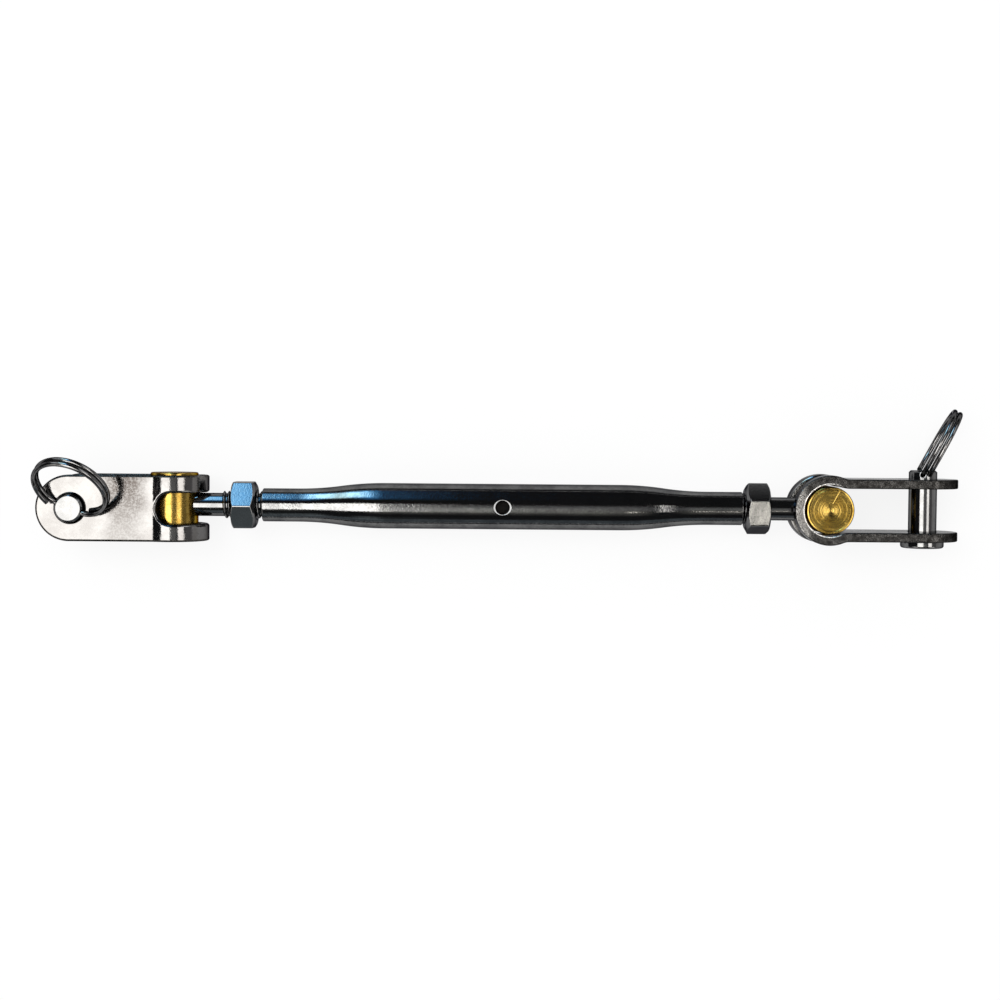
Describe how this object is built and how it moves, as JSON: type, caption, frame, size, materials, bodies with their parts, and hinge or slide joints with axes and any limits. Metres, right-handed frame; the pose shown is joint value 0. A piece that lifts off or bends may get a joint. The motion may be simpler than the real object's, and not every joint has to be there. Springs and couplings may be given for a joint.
{
  "type": "shroud adjuster",
  "caption": "Closed tubular turnbuckle with left and right threaded studs, lock nuts, swivelling strap toggles, clevis pins and split rings.",
  "frame": {"origin": "centre of the tommy-bar hole in the middle of the body tube", "axes": "+X along the body towards the right-hand stud, +Z along the tommy-bar hole and the left clevis pin, towards its split ring, +Y along the right clevis pin, towards its split ring"},
  "size_m": [0.1975, 0.0299, 0.0279],
  "materials": {
    "body_steel": "polished",
    "stud_steel": "polished",
    "nut_steel": "polished",
    "barrel_brass": "satin",
    "strap_steel": "satin",
    "pin_steel": "polished",
    "ring_wire": "polished"
  },
  "bodies": {
    "body": {"body_tube": "body_steel"},
    "left_nut": {"left_locknut": "nut_steel"},
    "left_screw": {"left_stud": "stud_steel", "left_barrel": "barrel_brass"},
    "left_toggle": {"left_toggle_strap": "strap_steel"},
    "left_pin": {"left_clevis_pin": "pin_steel"},
    "left_ring": {"left_split_ring": "ring_wire"},
    "right_nut": {"right_locknut": "nut_steel"},
    "right_screw": {"right_stud": "stud_steel", "right_barrel": "barrel_brass"},
    "right_toggle": {"right_toggle_strap": "strap_steel"},
    "right_pin": {"right_clevis_pin": "pin_steel"},
    "right_ring": {"right_split_ring": "ring_wire"}
  },
  "joints": [
    {"name": "left_nut_turn", "type": "hinge", "parent": "body", "child": "left_nut", "pos_m": [0, 0, 0], "axis": [1, 0, 0], "range_deg": [0, 10800]},
    {"name": "left_stud_travel", "type": "slide", "parent": "left_nut", "child": "left_screw", "axis": [-1, 0, 0], "range_m": [0, 0.03]},
    {"name": "left_toggle_swing", "type": "hinge", "parent": "left_screw", "child": "left_toggle", "pos_m": [-0.07057, 0, 0], "axis": [0, 1, 0], "range_deg": [-85, 85]},
    {"name": "left_pin_turn", "type": "hinge", "parent": "left_toggle", "child": "left_pin", "pos_m": [-0.09157, -0.00072, 0], "axis": [0, 0, 1], "continuous": true},
    {"name": "left_ring_swing", "type": "hinge", "parent": "left_pin", "child": "left_ring", "pos_m": [-0.09157, -0.00072, 0.0076], "axis": [0.9354, -0.3535, 0], "range_deg": [-8, 92]},
    {"name": "right_nut_turn", "type": "hinge", "parent": "body", "child": "right_nut", "pos_m": [0, 0, 0], "axis": [1, 0, 0], "range_deg": [0, 10800]},
    {"name": "right_stud_travel", "type": "slide", "parent": "right_nut", "child": "right_screw", "axis": [1, 0, 0], "range_m": [0, 0.03]},
    {"name": "right_toggle_swing", "type": "hinge", "parent": "right_screw", "child": "right_toggle", "pos_m": [0.06935, 0, 0], "axis": [0, 0, 1], "range_deg": [-85, 85]},
    {"name": "right_pin_turn", "type": "hinge", "parent": "right_toggle", "child": "right_pin", "pos_m": [0.09035, 0, 0], "axis": [0, 1, 0], "continuous": true},
    {"name": "right_ring_swing", "type": "hinge", "parent": "right_pin", "child": "right_ring", "pos_m": [0.09035, 0.0076, 0], "axis": [-0.1977, 0, 0.9803], "range_deg": [-22.3, 77.7]}
  ],
  "couplings": [
    {"joint": "left_nut_turn", "follows": "left_stud_travel", "rad_per_m": 6283.2},
    {"joint": "right_nut_turn", "follows": "right_stud_travel", "rad_per_m": 6283.2}
  ]
}
